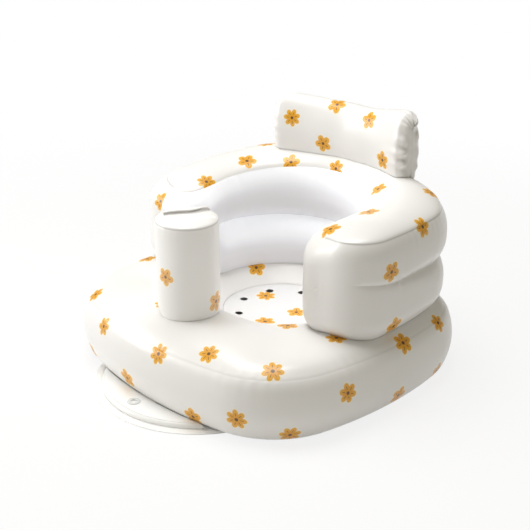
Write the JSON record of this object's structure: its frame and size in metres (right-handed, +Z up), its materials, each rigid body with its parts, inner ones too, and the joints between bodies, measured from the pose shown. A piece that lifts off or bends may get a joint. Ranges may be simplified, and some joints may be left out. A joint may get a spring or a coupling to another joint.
{
  "type": "inflatable chair",
  "caption": "Child's inflatable seat: rounded-square air base with a round seat well, U-shaped backrest and arms, head pillow, front post and a foot-pump pad.",
  "frame": {"origin": "on the ground, midway across the arms and midway from the pump pad's front edge to the base's rear", "axes": "+Z up, +Y to the rear (the sitter faces -Y), +X to the sitter's left"},
  "size_m": [0.6, 0.613, 0.412],
  "materials": {
    "printed_vinyl": "satin",
    "floor_vinyl": "satin",
    "pump_film": "satin",
    "foam": "matte",
    "valve_vinyl": "gloss"
  },
  "bodies": {
    "chair": {"base_ring": "printed_vinyl", "backrest": "printed_vinyl", "head_pillow": "printed_vinyl", "front_post": "printed_vinyl", "post_top": "printed_vinyl", "seat_floor": "floor_vinyl", "pump_bottom_film": "pump_film", "pump_weld_margin": "pump_film", "pump_skirt": "pump_film", "pump_foam_core": "foam", "pump_outlet_duct": "pump_film", "base_valve_flange": "valve_vinyl", "back_valve_flange": "valve_vinyl", "pillow_valve_flange": "valve_vinyl"},
    "pump_pad": {"pump_press_pad": "pump_film", "pump_intake_eyelet": "valve_vinyl"},
    "intake_flap": {"pump_intake_flap": "valve_vinyl"},
    "outlet_flap": {"pump_outlet_flap": "valve_vinyl"},
    "base_stem": {"base_valve_stem": "valve_vinyl"},
    "base_plug": {"base_valve_plug": "valve_vinyl"},
    "base_flap": {"base_valve_flap": "valve_vinyl"},
    "back_stem": {"back_valve_stem": "valve_vinyl"},
    "back_plug": {"back_valve_plug": "valve_vinyl"},
    "back_flap": {"back_valve_flap": "valve_vinyl"},
    "pillow_stem": {"pillow_valve_stem": "valve_vinyl"},
    "pillow_plug": {"pillow_valve_plug": "valve_vinyl"},
    "pillow_flap": {"pillow_valve_flap": "valve_vinyl"}
  },
  "joints": [
    {"name": "pump_press", "type": "slide", "parent": "chair", "child": "pump_pad", "axis": [0, 0, -1], "range_m": [0, 0.005], "stiffness_N_per_m": 1500, "deforming": ["pump_skirt", "pump_foam_core"]},
    {"name": "intake_flap_open", "type": "hinge", "parent": "pump_pad", "child": "intake_flap", "pos_m": [0, -0.2595, 0.0088], "axis": [1, 0, 0], "range_deg": [0, 10], "stiffness_Nm_per_rad": 0.001},
    {"name": "outlet_flap_open", "type": "hinge", "parent": "chair", "child": "outlet_flap", "pos_m": [0, -0.2136, 0.0058], "axis": [1, 0, 0], "range_deg": [0, 45]},
    {"name": "base_valve_pull", "type": "slide", "parent": "chair", "child": "base_stem", "axis": [0, 1, 0], "range_m": [0, 0.014]},
    {"name": "base_plug_pull", "type": "slide", "parent": "base_stem", "child": "base_plug", "axis": [0, 1, 0], "range_m": [0, 0.012]},
    {"name": "base_flap_open", "type": "hinge", "parent": "base_stem", "child": "base_flap", "pos_m": [0, 0.2831, 0.0626], "axis": [-1, 0, 0], "range_deg": [0, 60]},
    {"name": "back_valve_pull", "type": "slide", "parent": "chair", "child": "back_stem", "axis": [0, 1, 0], "range_m": [0, 0.014]},
    {"name": "back_plug_pull", "type": "slide", "parent": "back_stem", "child": "back_plug", "axis": [0, 1, 0], "range_m": [0, 0.012]},
    {"name": "back_flap_open", "type": "hinge", "parent": "back_stem", "child": "back_flap", "pos_m": [0, 0.2631, 0.2556], "axis": [-1, 0, 0], "range_deg": [0, 60]},
    {"name": "pillow_valve_pull", "type": "slide", "parent": "chair", "child": "pillow_stem", "axis": [0, 1, 0], "range_m": [0, 0.014]},
    {"name": "pillow_plug_pull", "type": "slide", "parent": "pillow_stem", "child": "pillow_plug", "axis": [0, 1, 0], "range_m": [0, 0.012]},
    {"name": "pillow_flap_open", "type": "hinge", "parent": "pillow_stem", "child": "pillow_flap", "pos_m": [0, 0.2641, 0.3656], "axis": [-1, 0, 0], "range_deg": [0, 60]}
  ]
}
